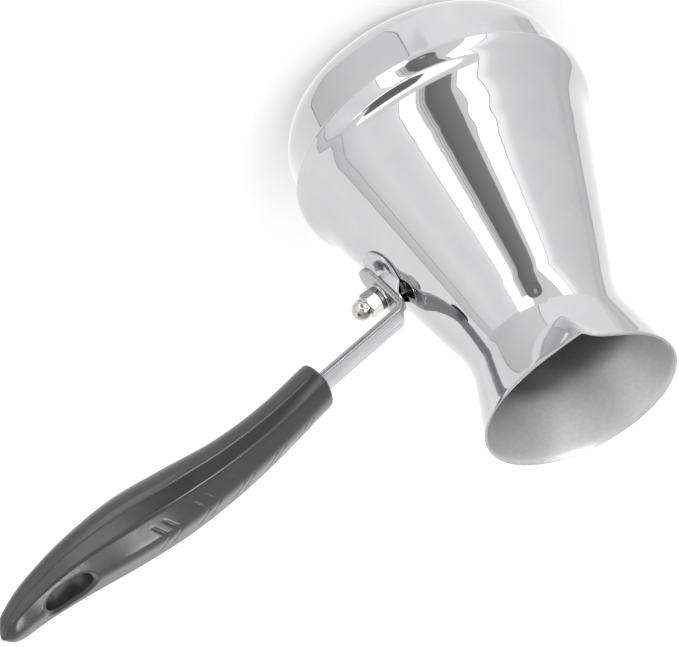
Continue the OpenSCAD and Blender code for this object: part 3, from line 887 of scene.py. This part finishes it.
def worked(tree, known, steps):
    # a math node for each step (result, operation, values), where a name stands for a known value;
    # returns everything known by then
    known = dict(known)
    for result, operation, *values in steps:
        values = [known.get(value, value) for value in values]
        known[result] = addNode(tree, "ShaderNodeMath", values, operation=operation)
    return known


def panelLight(light):
    # a panel's light as a share of the lamp's; a grey is divided by what the steel takes away
    if light == "lamp":
        share = 1.0
    elif light == "white":
        share = studio["white"] / studio["lamp"]
    else:
        share = hexColour("#" + "%02x" % light * 3)[0] / hexColour(studio["steel"])[0] / studio["lamp"]
    return (share, share, share, 1)


def panelRamp(tree, azimuth, stops):
    # panels side by side, blended from one stop's azimuth to the next
    low, high = stops[0][0], stops[-1][0]
    place = worked(tree, {"azimuth": azimuth}, [("turned", "SUBTRACT", "azimuth", low),
                                                ("place", "DIVIDE", "turned", high - low)])["place"]
    return addNode(tree, "ShaderNodeValToRGB", {"Fac": place},
                   [((at - low) / (high - low), panelLight(light)) for at, light in stops])


def seamMask(tree, azimuth, seams, half):
    # 1 within half a seam's width of any of the seams
    steps = [("mask", "COMPARE", "azimuth", seams[0], half)]
    for at in seams[1:]:
        steps += [("next", "COMPARE", "azimuth", at, half), ("mask", "MAXIMUM", "mask", "next")]
    return worked(tree, {"azimuth": azimuth}, steps)["mask"]


def cardMask(tree, angles, card):
    # 1 inside a card: there the shares of its half sizes, each to the power of its squareness,
    # add up to under 1
    across, halfWide, height, halfHigh, lean, square = (float(k) for k in card[:-1])
    return worked(tree, angles, [
        ("up", "SUBTRACT", "rise", height),
        ("aside", "SUBTRACT", "azimuth", across),
        ("aside", "MULTIPLY_ADD", "up", lean, "aside"),
        ("wide", "DIVIDE", "aside", halfWide),
        ("wide", "ABSOLUTE", "wide"),
        ("wide", "POWER", "wide", square),
        ("high", "DIVIDE", "up", halfHigh),
        ("high", "ABSOLUTE", "high"),
        ("high", "POWER", "high", square),
        ("total", "ADD", "wide", "high"),
        ("inside", "LESS_THAN", "total", 1.0),
    ])["inside"]


def layered(tree, light, layers):
    # lays each (mask, light) over what is there
    for mask, above in layers:
        light = addNode(tree, "ShaderNodeMixRGB", {"Fac": mask, "Color1": light, "Color2": above})
    return light


def lightTent(spec):
    # a round tent of panels and softboxes that only reflections see
    mat, tree, where = newMaterial("tentFabric")
    axes = addNode(tree, "ShaderNodeSeparateXYZ", {"Vector": where})
    # angles in degrees; above the horizon the panels lean, below it the left ones spread
    angles = worked(tree, {"x": axes.outputs["X"], "y": axes.outputs["Y"], "z": axes.outputs["Z"]}, [
        ("rise", "DIVIDE", "z", spec["tentR"] * mm),
        ("rise", "ARCSINE", "rise"),
        ("rise", "DEGREES", "rise"),
        ("azimuth", "ARCTAN2", "y", "x"),
        ("azimuth", "DEGREES", "azimuth"),
        ("above", "MAXIMUM", "rise", 0.0),
        ("leaning", "MULTIPLY_ADD", "above", spec["slant"], "azimuth"),
        ("below", "MINIMUM", "rise", 0.0),
        ("spread", "MULTIPLY_ADD", "below", -spec["split"], "leaning"),
        ("spread", "MINIMUM", "spread", spec["splitTo"]),
        ("isLeft", "LESS_THAN", "leaning", spec["splitAt"]),
        ("gap", "SUBTRACT", "spread", "leaning"),
        ("leaning", "MULTIPLY_ADD", "isLeft", "gap", "leaning"),
        ("isBack", "GREATER_THAN", "leaning", spec["back"][0][0]),
        ("isLow", "LESS_THAN", "rise", spec["lowTop"]),
        ("isUnder", "LESS_THAN", "rise", spec["lowEnd"]),
    ])
    azimuth, leaning = angles["azimuth"], angles["leaning"]
    start, end = spec["ceilingFrom"]
    overhead = addNode(tree, "ShaderNodeMapRange", {
        "Value": angles["rise"], "From Min": start, "From Max": end})
    piping = panelLight(spec["seamGrey"])
    wall = layered(tree, panelRamp(tree, leaning, spec["front"]), [
        (angles["isBack"], panelRamp(tree, leaning, spec["back"])),
        (seamMask(tree, leaning, spec["seams"], spec["seamHalf"]), piping),
        (overhead, panelLight(spec["ceiling"]))])
    low = layered(tree, panelRamp(tree, azimuth, spec["low"]), [
        (seamMask(tree, azimuth, spec["lowSeams"], spec["lowSeamHalf"]), piping),
        (angles["isUnder"], panelLight(spec["under"]))])
    cards = [(cardMask(tree, angles, card), panelLight(card[-1])) for card in spec["cards"]]
    whole = layered(tree, wall, [(angles["isLow"], low)] + cards)
    glow = addNode(tree, "ShaderNodeEmission", {"Color": whole, "Strength": spec["lamp"]})
    addNode(tree, "ShaderNodeOutputMaterial", {"Surface": glow})
    tilt = np.radians(np.linspace(-90, 90, 49))[:, None]
    ball = spun(spec["tentR"] * np.cos(tilt), spec["tentR"] * np.sin(tilt), fullTurn(96))
    tent = addObject("lightTent", closedMesh("lightTent", ball, materials=[mat]))
    tent.location = np.array(spec["tentAt"]) * mm
    tent.visible_camera = tent.visible_diffuse = tent.visible_shadow = False


def paleFloor(spec):
    # a square as large as the camera can need, that the mirror steel sees the tent instead of
    half, z = spec["floorHalf"], -spec["floorGap"] * mm
    mesh = bpy.data.meshes.new("floor")
    corners = [(-half, -half, z), (half, -half, z), (half, half, z), (-half, half, z)]
    mesh.from_pydata(corners, [], [(0, 1, 2, 3)])
    mesh.materials.append(matteWhitePaint())
    floor = addObject("floor", mesh)
    floor.visible_glossy = False


def softLight(name, at, target, power):
    # a square soft box that faces its target
    lamp = bpy.data.lights.new(name, "AREA")
    lamp.shape = "SQUARE"
    lamp.size = studio["lightSize"]
    lamp.energy = power
    z = np.array(at) - np.array(target)
    z = z / np.linalg.norm(z)
    x = np.cross([0, 0, 1], z)
    x /= np.linalg.norm(x)
    stand(addObject(name, lamp), x, np.cross(z, x), z, at)


world = bpy.data.worlds.new("studioAir")
bpy.context.scene.world = world
world.use_nodes = True
world.node_tree.nodes["Background"].inputs["Color"].default_value = hexColour("#ffffff")
world.node_tree.nodes["Background"].inputs["Strength"].default_value = studio["air"]
paleFloor(studio)
lightTent(studio)
for name, (at, target, power) in studio["lights"].items():
    softLight(name, at, target, power)
print("studio set")

# the camera: place in mm and its axes
view = {
    "at": (187.7, -714.4, 525.1),
    "right": (-0.92465, 0.06892, 0.37453),
    "up": (-0.35078, -0.53699, -0.76720),
    "lens": 132.55,
    "sensor": 36,
}
camera = bpy.data.cameras.new("camera")
camera.lens = view["lens"]
camera.sensor_width = view["sensor"]
camera.clip_start = 0.01
cameraHolder = addObject("camera", camera)
right, up = np.array(view["right"]), np.array(view["up"])
stand(cameraHolder, right, up, np.cross(right, up), np.array(view["at"]) * mm)
bpy.context.scene.camera = cameraHolder
bpy.context.scene.view_settings.view_transform = "Standard"
print("camera set")
